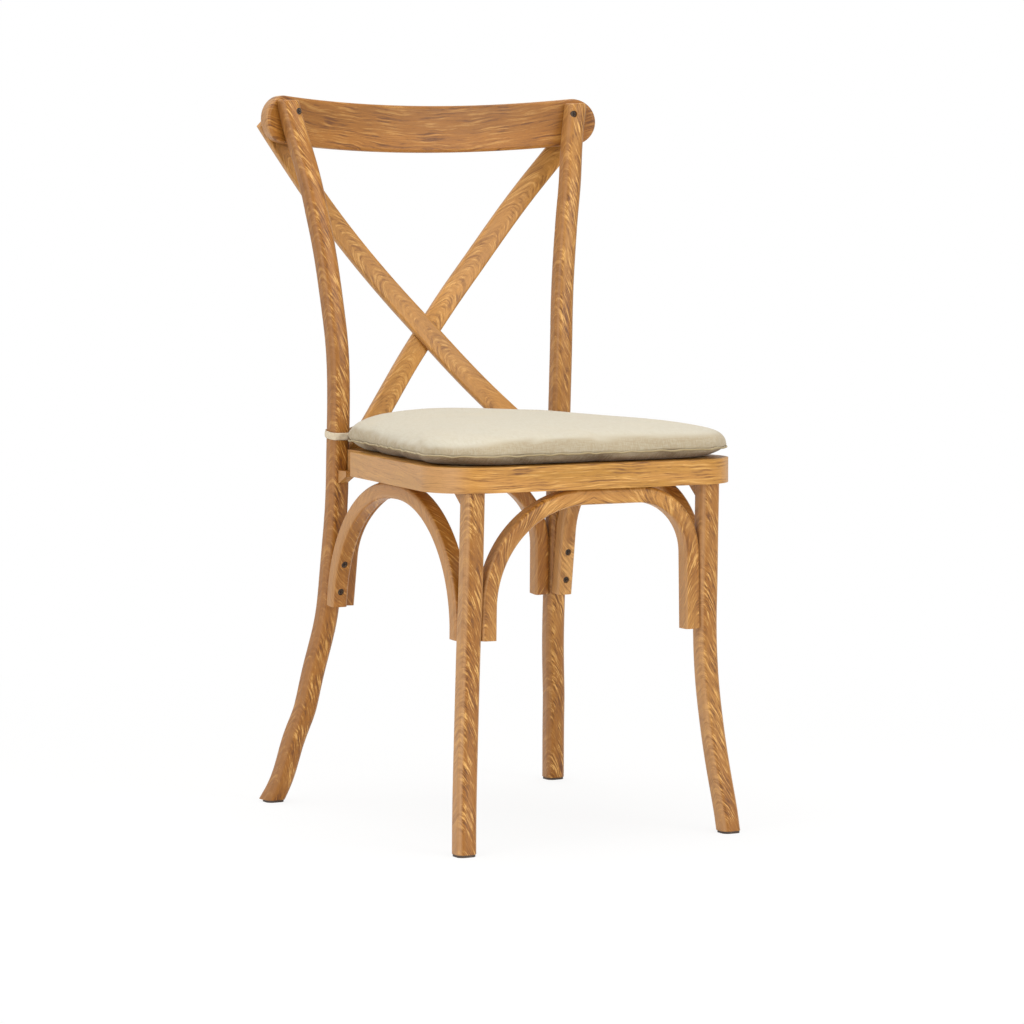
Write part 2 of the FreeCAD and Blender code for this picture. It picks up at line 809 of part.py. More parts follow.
def slat_screws():
    """Screws through the slats: at the rail, at the crossing and at the seat ring."""
    crossY = rearFootY - slatCrossSet
    forward = V(0, -1, 0)
    rows = [(V(0, crossY + slatThickness, slatCrossZ), forward, slatThickness * 1.5)]
    for side in sides.values():
        x = slatTopX - slatScrewInset
        z = slatTopZ - slatScrewInset
        y = rail_back_y(x) + slatThickness
        rows.append((V(side * x, y, z), forward, slatThickness + railGrip))
        foot = V(side * slatScrewX, ringRearY + slatThickness, seatTopZ - slatScrewDrop)
        rows.append((foot, forward, slatThickness + screwGrip))
    return rows


def panel_screws():
    """Small screws through the panel's edge into the ring's step."""
    rows = []
    inset = ringBand - panelRebate / 2
    frontY = ringFrontY + inset
    rearY = ringRearY - inset
    middleY = (frontY + rearY) / 2
    for side in sides.values():
        for y in (frontY + ringInnerBend * 2, middleY, rearY - ringInnerBend * 2):
            rows.append(V(side * (ring_side_x(y) - inset), y, seatTopZ))
    for y in (frontY, rearY):
        rows.append(V(0, y, seatTopZ))
    return [(p, V(0, 0, -1), panelScrewLength, panelScrewRadius) for p in rows]


# Cushion

def cushion_corners(inset):
    """Outline of the cushion, drawn in by inset."""
    frontY = ringFrontY + cushionInset + inset
    rearY = ringRearY - cushionRearInset - inset
    frontX = ringFrontX - cushionInset - inset
    rearX = cushionRearX - inset
    front = max(cushionFrontBend - inset, cushionLeastBend)
    rear = max(cushionRearBend - inset, cushionLeastBend)
    return [(-frontX, frontY, front), (frontX, frontY, front), (rearX, rearY, rear), (-rearX, rearY, rear)]


def cushion_body(shrink):
    """The crowned pad: sides that draw in at both seams, and a top that swells."""
    floor = seatTopZ + shrink
    wall = cushionWall - shrink
    crown = cushionCrown - shrink
    seam = floor + wall
    band = [(floor + wall * up, cushionPull * pull) for up, pull in padBand]
    top = [(seam + crown * up, inset) for up, inset in padCrown]
    pieces = []
    for rows in (band, top):
        wires = [outline(cushion_corners(inset + shrink), z) for z, inset in rows]
        pieces.append(Part.makeLoft(wires, True, True))
    return one_solid(pieces[0].fuse(pieces[1]).removeSplitter())


def tie(side, post, pad):
    """A flat strap that loops round a post, with two tails to the cushion."""
    at, _ = point_at(post_points(side), tieFrontZ)
    middle = V(at.x, at.y, tieFrontZ - tieBlank / 2)
    clear = half + tieGap
    full = clear + tieThickness
    outer = rounded_wire(middle, xAxis, yAxis, 2 * full, 2 * full, legEdge + tieGap + tieThickness)
    inner = rounded_wire(middle, xAxis, yAxis, 2 * clear, 2 * clear, legEdge + tieGap)
    rise = V(0, 0, tieBlank)
    loop = Part.Face(outer).extrude(rise).cut(Part.Face(inner).extrude(rise))
    near = at.x
    far = at.x - side * (full + tieTail)
    tails = []
    for y in (middle.y - full, middle.y + clear):
        low = (min(near, far), y, middle.z)
        high = (max(near, far), y + tieThickness, middle.z + tieBlank)
        tails.append(box_between(low, high))
    band = loop.fuse(tails)
    reach = legStock * 2
    strap = Part.makeBox(2 * reach, 2 * reach, tieWidth, V(-reach, -reach, -tieWidth / 2))
    strap.rotate(V(0, 0, 0), xAxis, tieSlope)
    climb = clear * math.tan(math.radians(tieSlope))
    strap.translate(V(middle.x, middle.y, tieFrontZ + climb))
    return cut_all(one_solid(band.common(strap)), [post, pad])


def build():
    legs = {name: raw_leg(side) for name, side in sides.items()}
    posts = {name: raw_post(side) for name, side in sides.items()}
    uprights = list(legs.values()) + list(posts.values())
    ring = raw_ring()
    panel = seat_panel()
    arches = raw_arches(uprights)
    wedges = blocks(uprights)
    rail = cut_all(rail_blank(), list(posts.values()))
    slatFront = cut_all(raw_slat(-1, -1), [rail, ring] + list(posts.values()))
    slatRear = cut_all(raw_slat(1, 1), [rail, ring, slatFront] + list(posts.values()))

    archRows = arch_screws(arches)
    crownRows = crown_screws()
    postRows = post_screws()
    railRows = rail_screws()
    slatRows = slat_screws()
    panelRows = panel_screws()
    archHoles = [screw_hole(*row) for row in archRows]
    crownHoles = [screw_hole(*row) for row in crownRows]
    postHoles = [screw_hole(*row) for row in postRows]
    railHoles = [screw_hole(*row) for row in railRows]
    slatHoles = [screw_hole(*row) for row in slatRows]
    panelHoles = [screw_hole(*row) for row in panelRows]

    parts = {}
    for name, side in sides.items():
        nail = glide_nail(leg_points(side), screwHoleGap)
        leg = cut_all(legs[name], archHoles + [nail])
        parts["front_leg_" + name] = one_solid(leg.fuse(tenon(side)))
        nail = glide_nail(post_points(side), screwHoleGap)
        parts["rear_post_" + name] = cut_all(posts[name], archHoles + postHoles + railHoles + [nail])
        parts["glide_front_" + name] = foot_glide(leg_points(side))
        parts["glide_rear_" + name] = foot_glide(post_points(side))
    parts["seat_ring"] = cut_all(ring, crownHoles + postHoles + slatHoles + panelHoles)
    parts["seat_panel"] = cut_all(panel, panelHoles)
    for name, arch in arches.items():
        parts[name] = cut_all(arch, archHoles + crownHoles)
    parts.update(wedges)
    parts["crest_rail"] = cut_all(rail, railHoles + slatHoles)
    parts["cross_slat_front"] = cut_all(slatFront, slatHoles)
    parts["cross_slat_rear"] = cut_all(slatRear, slatHoles)
    outer = cushion_body(0)
    parts["cushion_cover"] = one_solid(outer.cut(cushion_body(coverThickness)))
    parts["cushion_foam"] = cushion_body(coverThickness + foamGap)
    for name, side in sides.items():
        parts["cushion_tie_" + name] = tie(side, posts[name], outer)
    parts["arch_screws"] = Part.makeCompound([screw(*row) for row in archRows])
    parts["arch_crown_screws"] = Part.makeCompound([screw(*row) for row in crownRows])
    parts["post_screws"] = Part.makeCompound([screw(*row) for row in postRows])
    parts["rail_screws"] = Part.makeCompound([screw(*row) for row in railRows])
    parts["slat_screws"] = Part.makeCompound([screw(*row) for row in slatRows])
    parts["panel_screws"] = Part.makeCompound([screw(*row) for row in panelRows])
    nails = [glide_nail(leg_points(side), 0) for side in sides.values()]
    nails += [glide_nail(post_points(side), 0) for side in sides.values()]
    parts["glide_nails"] = Part.makeCompound(nails)
    return parts


os.makedirs("parts", exist_ok=True)
whole = build()
for name, shape in whole.items():
    shape.exportStep("parts/" + name + ".step")
    print(name, "solids", len(shape.Solids), "valid", shape.isValid(), "volume", round(shape.Volume))
box = Part.makeCompound(list(whole.values())).BoundBox
print("box", [round(v, 2) for v in (box.XMin, box.XMax, box.YMin, box.YMax, box.ZMin, box.ZMax)])
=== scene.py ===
import math
import bpy
import numpy as np
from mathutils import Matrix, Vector


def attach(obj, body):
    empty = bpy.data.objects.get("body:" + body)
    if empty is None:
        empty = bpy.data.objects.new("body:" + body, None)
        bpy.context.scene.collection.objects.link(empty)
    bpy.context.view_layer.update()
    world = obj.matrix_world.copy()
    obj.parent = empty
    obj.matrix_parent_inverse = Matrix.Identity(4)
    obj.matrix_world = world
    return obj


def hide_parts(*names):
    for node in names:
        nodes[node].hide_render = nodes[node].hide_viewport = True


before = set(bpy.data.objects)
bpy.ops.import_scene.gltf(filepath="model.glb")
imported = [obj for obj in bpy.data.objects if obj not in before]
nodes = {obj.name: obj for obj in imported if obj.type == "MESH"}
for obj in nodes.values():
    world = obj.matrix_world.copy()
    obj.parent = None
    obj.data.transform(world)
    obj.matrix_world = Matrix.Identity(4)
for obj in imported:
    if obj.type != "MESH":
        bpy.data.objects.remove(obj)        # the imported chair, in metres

scene = bpy.context.scene
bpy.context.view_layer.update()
print("chair loaded:", len(nodes), "nodes")


# shader helper

def tone(code, alpha=1.0):        # a colour as it looks on screen, made linear
    parts = [int(code[i:i + 2], 16) / 255 for i in (0, 2, 4)]
    return tuple(p / 12.92 if p < 0.04045 else ((p + 0.055) / 1.055) ** 2.4 for p in parts) + (alpha,)


class Graph:        # adds shader nodes with short calls
    def __init__(self, name):
        self.material = bpy.data.materials.new(name)
        self.material.use_nodes = True
        self.tree = self.material.node_tree
        self.tree.nodes.clear()
        self.shader = self.add("ShaderNodeBsdfPrincipled")
        output = self.add("ShaderNodeOutputMaterial")
        self.tree.links.new(self.shader.outputs[0], output.inputs["Surface"])
        self.place = self.add("ShaderNodeTexCoord").outputs["Object"]
        split = self.add("ShaderNodeSeparateXYZ")
        self.put(split.inputs[0], self.place)
        self.x, self.y, self.z = split.outputs
        facing = self.add("ShaderNodeSeparateXYZ")
        self.put(facing.inputs[0], self.add("ShaderNodeNewGeometry").outputs["Normal"])
        self.nx, self.ny, self.nz = facing.outputs

    def add(self, kind, **values):
        node = self.tree.nodes.new(kind)
        for key, value in values.items():
            setattr(node, key, value)
        return node

    def put(self, socket, value):
        if isinstance(value, bpy.types.NodeSocket):
            self.tree.links.new(value, socket)
        else:
            socket.default_value = value

    def calc(self, operation, *inputs, clamp=False):
        node = self.add("ShaderNodeMath", operation=operation, use_clamp=clamp)
        for socket, value in zip(node.inputs, inputs):
            self.put(socket, value)
        return node.outputs[0]

    def between(self, value, low, high, first=0.0, last=1.0, smooth=True):
        node = self.add("ShaderNodeMapRange", interpolation_type="SMOOTHSTEP" if smooth else "LINEAR")
        for socket, number in zip(node.inputs, (value, low, high, first, last)):
            self.put(socket, number)
        return node.outputs[0]

    def vector(self, x, y, z):
        node = self.add("ShaderNodeCombineXYZ")
        for socket, value in zip(node.inputs, (x, y, z)):
            self.put(socket, value)
        return node.outputs[0]

    def noise(self, place, scale=1.0, detail=2.0, roughness=0.5):
        node = self.add("ShaderNodeTexNoise")
        for key, value in (("Vector", place), ("Scale", scale), ("Detail", detail), ("Roughness", roughness)):
            self.put(node.inputs[key], value)
        return node.outputs["Fac"]

    def stretched(self, place, scales, **settings):        # noise with a scale of its own in each direction
        scaled = [self.calc("MULTIPLY", value, scale) for value, scale in zip(place, scales)]
        return self.noise(self.vector(*scaled), **settings)

    def mix(self, factor, a, b, blend="MIX"):
        node = self.add("ShaderNodeMix", data_type="RGBA", blend_type=blend)
        for key, value in ((0, factor), (6, a), (7, b)):
            self.put(node.inputs[key], value)
        return node.outputs[2]

    def curve(self, value, low, high, points):        # a smooth line through (position, value) points
        share = self.between(value, low, high, smooth=False)
        values = [v for _, v in points]
        bottom, top = min(values), max(values) + 1e-6
        node = self.add("ShaderNodeFloatCurve")
        line = node.mapping.curves[0]
        for _ in range(len(points) - 2):
            line.points.new(0.5, 0.5)
        for point, (position, v) in zip(line.points, points):
            point.location = ((position - low) / (high - low), (v - bottom) / (top - bottom))
        node.mapping.update()
        self.put(node.inputs["Value"], share)
        return self.between(node.outputs[0], 0.0, 1.0, bottom, top, smooth=False)

    def finish(self, colour, roughness, height=None, bump=0.2, depth=0.0005, **sockets):
        self.put(self.shader.inputs["Base Color"], colour)
        self.put(self.shader.inputs["Roughness"], roughness)
        for key, value in sockets.items():
            self.shader.inputs[key.replace("_", " ")].default_value = value
        if height is not None:
            node = self.add("ShaderNodeBump")
            node.inputs["Strength"].default_value = bump
            node.inputs["Distance"].default_value = depth
            self.put(node.inputs["Height"], height)
            self.put(self.shader.inputs["Normal"], node.outputs[0])
        return self.material


# how the grain runs in each piece: every function gives (along, across, through)

# the middle of each upright as (z, place) points; x is the left one's with its sign turned
legLine = {
    "z": (0.0, 0.9),
    "x": [(0.0, 0.1822), (0.043, 0.1782), (0.083, 0.1739), (0.123, 0.17), (0.163, 0.1666), (0.203, 0.1641),
          (0.2525, 0.1623), (0.3025, 0.1615), (0.4265, 0.1606), (0.9, 0.1606)],
    "y": [(0.0, -0.2426), (0.043, -0.2354), (0.083, -0.2287), (0.123, -0.2235), (0.163, -0.2193),
          (0.203, -0.217), (0.2525, -0.2167), (0.3025, -0.2193), (0.3625, -0.2215), (0.4265, -0.2241),
          (0.9, -0.2241)],
}
postLine = {
    "z": (0.0, 0.9),
    "x": [(0.0, 0.2054), (0.0625, 0.1924), (0.1025, 0.185), (0.1425, 0.178), (0.2025, 0.1692),
          (0.2625, 0.1632), (0.3425, 0.16), (0.4225, 0.1586), (0.5225, 0.1586), (0.6025, 0.1615),
          (0.6425, 0.1648), (0.6825, 0.1689), (0.7225, 0.1742), (0.7625, 0.1808), (0.8225, 0.1916),
          (0.9, 0.2085)],
    "y": [(0.0, 0.2426), (0.0625, 0.2203), (0.1025, 0.2072), (0.1425, 0.1946), (0.2025, 0.1781),
          (0.2625, 0.1645), (0.3425, 0.1537), (0.4225, 0.146), (0.5225, 0.1413), (0.6025, 0.1421),
          (0.6425, 0.1455), (0.6825, 0.1487), (0.7225, 0.1542), (0.7625, 0.1598), (0.8225, 0.1719),
          (0.9, 0.1911)],
}


def alongUpright(line, side):
    def path(g):
        low, high = line["z"]
        middleX = g.calc("MULTIPLY", g.curve(g.z, low, high, line["x"]), side)
        middleY = g.curve(g.z, low, high, line["y"])
        return g.z, g.calc("SUBTRACT", g.x, middleX), g.calc("SUBTRACT", g.y, middleY)
    return path


slatLine = {"angle": 49.6, "crossZ": 0.596, "depth": 0.3}


def alongSlat(side):        # straight in the plane of the back, through the crossing
    def path(g):
        angle = math.radians(slatLine["angle"])
        c, s = side * math.cos(angle), math.sin(angle)
        rise = g.calc("SUBTRACT", g.z, slatLine["crossZ"])
        along = g.calc("ADD", g.calc("MULTIPLY", g.x, c), g.calc("MULTIPLY", rise, s))
        across = g.calc("SUBTRACT", g.calc("MULTIPLY", rise, c), g.calc("MULTIPLY", g.x, s))
        return along, across, g.calc("MULTIPLY", g.y, slatLine["depth"])
    return path


railLine = {"middleZ": 0.858, "sag": 0.26}


def alongRail(g):        # follows the sag of the rail, a parabola
    sag = g.calc("MULTIPLY", g.calc("MULTIPLY", g.x, g.x), railLine["sag"])
    return g.x, g.calc("SUBTRACT", g.calc("SUBTRACT", g.z, railLine["middleZ"]), sag), g.y


def roundCorner(g, a, b, halfA, halfB, radius):
    # distance along and out from a path that runs straight, round a corner and straight again
    overA = g.calc("SUBTRACT", g.calc("ABSOLUTE", a), halfA - radius)
    overB = g.calc("SUBTRACT", b, halfB - radius)
    outA = g.calc("MAXIMUM", overA, 0.0)
    outB = g.calc("MAXIMUM", overB, 0.0)
    out = g.calc("SQRT", g.calc("ADD", g.calc("MULTIPLY", outA, outA), g.calc("MULTIPLY", outB, outB)))
    turn = g.calc("MULTIPLY", g.calc("ARCTAN2", outB, g.calc("MAXIMUM", outA, 1e-5)), radius)
    along = g.calc("ADD", turn, g.calc("MINIMUM", overB, 0.0))
    along = g.calc("SUBTRACT", along, g.calc("MINIMUM", overA, 0.0))
    return along, g.calc("SUBTRACT", out, radius)


archLine = {"topZ": 0.4265, "thin": 0.8}


def alongArch(level, middle, halfWidth, radius):        # level is the axis that the arch spans
    def path(g):
        a = g.calc("SUBTRACT", getattr(g, level), middle)
        along, out = roundCorner(g, a, g.z, halfWidth, archLine["topZ"], radius)
        side = g.y if level == "x" else g.x
        return along, g.calc("MULTIPLY", out, archLine["thin"]), side
    return path


ringLine = {"halfX": 0.205, "halfY": 0.244, "bend": 0.06, "middleZ": 0.4415}


def alongRing(g):
    r = ringLine
    along, out = roundCorner(g, g.x, g.calc("MULTIPLY", g.y, -1.0), r["halfX"], r["halfY"], r["bend"])
    # counted from the middle of the front; the bent bar's ends meet at the rear
    front = r["halfX"] - r["bend"] + r["bend"] * math.pi / 2
    along = g.calc("MULTIPLY", g.calc("SUBTRACT", along, front), g.calc("SIGN", g.x))
    return along, g.calc("SUBTRACT", g.z, r["middleZ"]), out


# oak

oak = {
    "honey": "AC7838", "gold": "BD853D", "umber": "A36925", "brown": "8C591D", "red": "986120",
    # rose and tan are painted light: the tone that the faces turned to the sides take from the pinker light
    # falling on them
    "amber": "B07C2C", "rose": "BA8E61", "sand": "C28F50", "tan": "9A6B3F",
    "light": "E5B266", "dark": "6C4019", "deep": "5E3C1A", "end": "D2B088",        # streaks, pores, sawn ends
}

grain = {
    # how often each kind of mark changes in a metre along, across and through the wood
    "slow": (14.0, 45.0, 45.0), "bow": (9.0, 24.0, 0.0), "patch": (30.0, 70.0, 60.0),
    "broad": (5.0, 38.0, 38.0), "fibre": (36.0, 1100.0, 1100.0), "pores": (110.0, 2200.0, 2200.0),
    "bandRun": 13.0, "depthRun": 42.0, "dashes": 420.0,
    # where each mark begins and is full, and what it runs from and to
    "patchFrom": (0.36, 0.6, 0.15, 1.0), "broadFrom": (0.35, 0.7), "lowerFrom": (0.012, -0.004),
    "paleFrom": (0.52, 0.63), "darkFrom": (0.485, 0.39), "poreFrom": (0.62, 0.72),
    "fibreShade": (0.3, 0.7, 0.87, 1.07), "gloss": (0.2, 0.8, 0.36, 0.5), "dashFrom": (0.55, 0.9),
    "sideFrom": (0.35, 0.75), "topFrom": (0.9, 0.98), "sawnZ": (0.8825, 0.892),
    # how strong it is
    "bowShift": 2.0, "slowShift": 3.2, "lowerShift": 0.02, "dashShift": 2.0,
    "paintedSideLight": 0.6, "dark": 0.95, "pore": 0.34, "lineRise": 0.5, "fibreRise": 0.4, "poreFall": 0.5,
}


def oakMaterial(name, path, period=0.0095, curve=0.009, offset=0.012, layer=0.004, band=0.0, wander=0.5,
                strength=1.0, paleness=0.9, sidePlain=0.65, seed=0.0, fine=3.0, breaks=42.0,
                ground="honey", second="red", lower=None, fade=None, paintedSideLight="rose"):
    # growth lines cut as nested arches: a line runs where along plus across squared over twice the
    # curve is constant, a period apart; with band they run lengthwise, that far apart
    g = Graph(name)
    along, across, through = path(g)
    shifted = g.calc("ADD", along, seed)
    place = (shifted, across, through)
    slow = g.stretched(place, grain["slow"], detail=2.0)
    if band:
        bow = g.stretched(place, grain["bow"], detail=3.0)
        phase = g.calc("ADD", g.calc("DIVIDE", across, band), g.calc("MULTIPLY", bow, grain["bowShift"]))
        run = g.calc("MULTIPLY", shifted, grain["bandRun"])
    else:
        aside = g.calc("SUBTRACT", across, offset)
        bow = g.calc("DIVIDE", g.calc("MULTIPLY", aside, aside), 2 * curve)
        phase = g.calc("DIVIDE", g.calc("ADD", shifted, bow), period)
        run = g.calc("MULTIPLY", across, breaks)
    phase = g.calc("ADD", phase, g.calc("DIVIDE", through, layer))
    phase = g.calc("ADD", phase, g.calc("MULTIPLY", slow, grain["slowShift"] * wander))
    depth = g.calc("MULTIPLY", through, grain["depthRun"])
    lines = g.noise(g.vector(g.calc("MULTIPLY", phase, fine), run, depth), detail=3.0, roughness=0.62)
    # streaks come and go, and the faces turned to the sides show few
    patch = g.between(g.stretched(place, grain["patch"], detail=3.0, roughness=0.6), *grain["patchFrom"])
    side = g.between(g.calc("ABSOLUTE", g.nx), *grain["sideFrom"])
    shown = g.calc("MULTIPLY", g.calc("MULTIPLY", patch, strength),
                   g.calc("SUBTRACT", 1.0, g.calc("MULTIPLY", side, sidePlain)))
    broad = g.stretched(place, grain["broad"], detail=3.0)
    plain = g.mix(g.between(broad, *grain["broadFrom"]), tone(oak[ground]), tone(oak[second]))
    if lower:        # a colour of the lower edge
        edge = g.calc("ADD", across, g.calc("MULTIPLY", slow, grain["lowerShift"]))
        plain = g.mix(g.between(edge, *grain["lowerFrom"]), plain, tone(oak[lower]))
    if fade:        # a colour that comes in with height: painted shade at the feet of legs and posts, painted light at the crown of the front arch
        plain = g.mix(g.between(g.z, fade[1], fade[2]), plain, tone(oak[fade[0]]))
    # painted light: the faces turned to the sides take the rose tone (tan on the posts), standing in for the
    # pinker light that falls on them from the side
    plain = g.mix(g.calc("MULTIPLY", side, grain["paintedSideLight"]), plain, tone(oak[paintedSideLight]))
    pale = g.calc("MULTIPLY", g.between(lines, *grain["paleFrom"]), shown)
    dark = g.calc("MULTIPLY", g.between(lines, *grain["darkFrom"]), shown)
    colour = g.mix(g.calc("MULTIPLY", pale, paleness), plain, tone(oak["light"]))
    colour = g.mix(g.calc("MULTIPLY", dark, grain["dark"]), colour, tone(oak["dark"]))
    # fine fibres and open pores
    fibre = g.stretched(place, grain["fibre"], detail=2.0, roughness=0.65)
    pores = g.between(g.stretched(place, grain["pores"], detail=1.0), *grain["poreFrom"])
    shade = g.between(fibre, *grain["fibreShade"], smooth=False)
    colour = g.mix(1.0, colour, g.vector(shade, shade, shade), "MULTIPLY")
    colour = g.mix(g.calc("MULTIPLY", pores, grain["pore"]), colour, tone(oak["deep"]))
    # the sawn tops of posts and rail are paler, with short dashes
    top = g.calc("MULTIPLY", g.between(g.nz, *grain["topFrom"]), g.between(g.z, *grain["sawnZ"]))
    dashes = g.calc("MULTIPLY", g.y, grain["dashes"])
    dashes = g.calc("FRACT", g.calc("ADD", dashes, g.calc("MULTIPLY", slow, grain["dashShift"])))
    sawn = g.mix(g.between(dashes, *grain["dashFrom"]), tone(oak["end"]), tone(oak["red"]))
    colour = g.mix(top, colour, sawn)
    height = g.calc("MULTIPLY", lines, grain["lineRise"])
    height = g.calc("ADD", height, g.calc("MULTIPLY", fibre, grain["fibreRise"]))
    height = g.calc("SUBTRACT", height, g.calc("MULTIPLY", pores, grain["poreFall"]))
    gloss = g.between(fibre, *grain["gloss"], smooth=False)
    return g.finish(colour, gloss, height, bump=0.35, depth=0.0004, Specular_IOR_Level=0.38,
                    Coat_Weight=0.08, Coat_Roughness=0.28)


def paint(material, *names):
    for name in names:
        slots = nodes[name].data.materials
        slots.clear()
        slots.append(material)


for side, sign in (("left", -1), ("right", 1)):
    # in legs and posts the red that comes in below 0.2 m is painted shade, darker towards the feet
    paint(oakMaterial("oakLeg_" + side, alongUpright(legLine, sign), period=0.0115, curve=0.026, offset=-0.05,
                      layer=0.012, breaks=105.0, paleness=0.8, seed=1.3 + sign * 0.4,
                      fade=("red", 0.2, 0.02)), "front_leg_" + side)
    paint(oakMaterial("oakPost_" + side, alongUpright(postLine, sign), period=0.0125, curve=0.023,
                      offset=-0.05, layer=0.012, breaks=115.0, paleness=0.75, seed=4.1 + sign * 0.7,
                      ground="umber" if sign < 0 else "honey", paintedSideLight="tan", fade=("red", 0.2, 0.02)),
          "rear_post_" + side)
paint(oakMaterial("oakSlatFront", alongSlat(-1), period=0.0125, curve=0.0042, offset=0.001, layer=0.008,
                  strength=0.62, wander=0.5, fine=2.9, breaks=68.0, paleness=0.85, seed=2.2, ground="honey",
                  second="gold"), "cross_slat_front")
paint(oakMaterial("oakSlatRear", alongSlat(1), period=0.013, curve=0.0042, offset=-0.001, layer=0.008,
                  strength=0.62, wander=0.5, fine=2.9, breaks=68.0, paleness=0.85, seed=6.8, ground="gold",
                  second="honey"), "cross_slat_rear")
paint(oakMaterial("oakRail", alongRail, band=0.0065, layer=0.012, fine=2.8, strength=1.0, paleness=0.3,
                  wander=0.6, seed=9.4, ground="red", second="brown", lower="umber"), "crest_rail")
paint(oakMaterial("oakRing", alongRing, band=0.0055, layer=0.012, fine=2.4, strength=0.9, paleness=0.7,
                  wander=0.5, seed=3.7, ground="gold", second="amber"), "seat_ring")
arches = {        # the axis that each spans, its middle, half width and bend, then its look
    # the gold that comes in at the front arch's crown is painted light, brightening it where the ring above
    # shades it
    "Front": ("x", 0.0, 0.149, 0.12, {"strength": 0.8, "seed": 5.5, "fade": ("gold", 0.375, 0.415)}),
    "Rear": ("x", 0.0, 0.149, 0.11, {"strength": 0.5, "seed": 7.9, "ground": "umber"}),
    "Left": ("y", -0.028, 0.177, 0.16, {"strength": 0.6, "seed": 8.6, "ground": "red", "second": "umber"}),
    "Right": ("y", -0.028, 0.177, 0.11, {"strength": 0.6, "seed": 2.9, "ground": "sand"}),
}
for name, (*place, look) in arches.items():
    paint(oakMaterial("oakArch" + name, alongArch(*place), period=0.013, layer=0.01, breaks=80.0, **look),
          "arch_" + name.lower())
paint(oakMaterial("oakBlock", lambda g: (g.y, g.z, g.x), offset=0.41, strength=0.3, seed=0.6),
      "front_block_left", "front_block_right", "rear_block_left", "rear_block_right")
print("oak done")


# plywood, metal and plastic

def plywoodMaterial():
    g = Graph("plywood")
    streak = g.stretched((g.x, g.y, g.z), (9.0, 160.0, 160.0), detail=4.0)
    ply = g.calc("FRACT", g.calc("MULTIPLY", g.z, 555.0))        # a layer each 1.8 mm
    edge = g.between(g.calc("ABSOLUTE", g.nz), 0.9, 0.5)
    colour = g.mix(streak, tone("D9BE93"), tone("B9935F"))
    layered = g.mix(g.between(ply, 0.45, 0.55), tone("D2B486"), tone("8F6A41"))
    colour = g.mix(edge, colour, layered)
    return g.finish(colour, g.between(streak, 0.2, 0.8, 0.6, 0.75), streak, bump=0.2)


def metalMaterial(name, colour, worn, roughness, metallic):
    g = Graph(name)
    wear = g.noise(g.place, scale=900.0, detail=3.0)
    shade = g.mix(g.between(wear, 0.45, 0.75), tone(colour), tone(worn))
    return g.finish(shade, g.between(wear, 0.2, 0.8, roughness - 0.08, roughness + 0.1), wear, bump=0.15,
                    depth=0.0001, Metallic=metallic)


def plasticMaterial():
    g = Graph("glidePlastic")
    fleck = g.noise(g.place, scale=1400.0, detail=2.0)
    scuff = g.noise(g.place, scale=160.0, detail=4.0, roughness=0.7)
    colour = g.mix(g.between(scuff, 0.5, 0.8), tone("43362B"), tone("6A5848"))
    return g.finish(colour, g.between(scuff, 0.3, 0.8, 0.42, 0.65), fleck, bump=0.2, depth=0.0002)


paint(plywoodMaterial(), "seat_panel")
paint(metalMaterial("screwSteel", "382A1E", "6B523B", 0.5, 0.25),
      "arch_screws", "arch_crown_screws", "post_screws", "rail_screws", "slat_screws", "panel_screws")
paint(metalMaterial("nailSteel", "8E8C88", "B9B6B0", 0.35, 1.0), "glide_nails")
paint(plasticMaterial(), "glide_front_left", "glide_front_right", "glide_rear_left", "glide_rear_right")
print("plywood, metal and plastic done")


# linen cushion

linen = {
    "paintedUnderShadow": "5C4E3A", "gap": "A1926F", "blotch": "C8B99B",
    # how often each mark changes in a metre
    "wobble": 70.0, "along": (90.0, 900.0, 900.0), "across": (900.0, 90.0, 160.0), "blotches": 16.0,
    # where each mark begins and is full, and how strong it is
    "lyingFrom": (0.48, 0.96), "lyingTilt": 0.4, "underFrom": (-0.55, -0.9, 0.0, 0.7),
    "slubFrom": (0.85, 1.2), "slub": 0.6, "gapFrom": (-1.4, 0.2, 1.0, 0.0), "gapShare": 0.28,
    "blotchFrom": (0.4, 0.8), "blotchShare": 0.2, "threadShift": 5.0, "threadRise": 0.4,
}


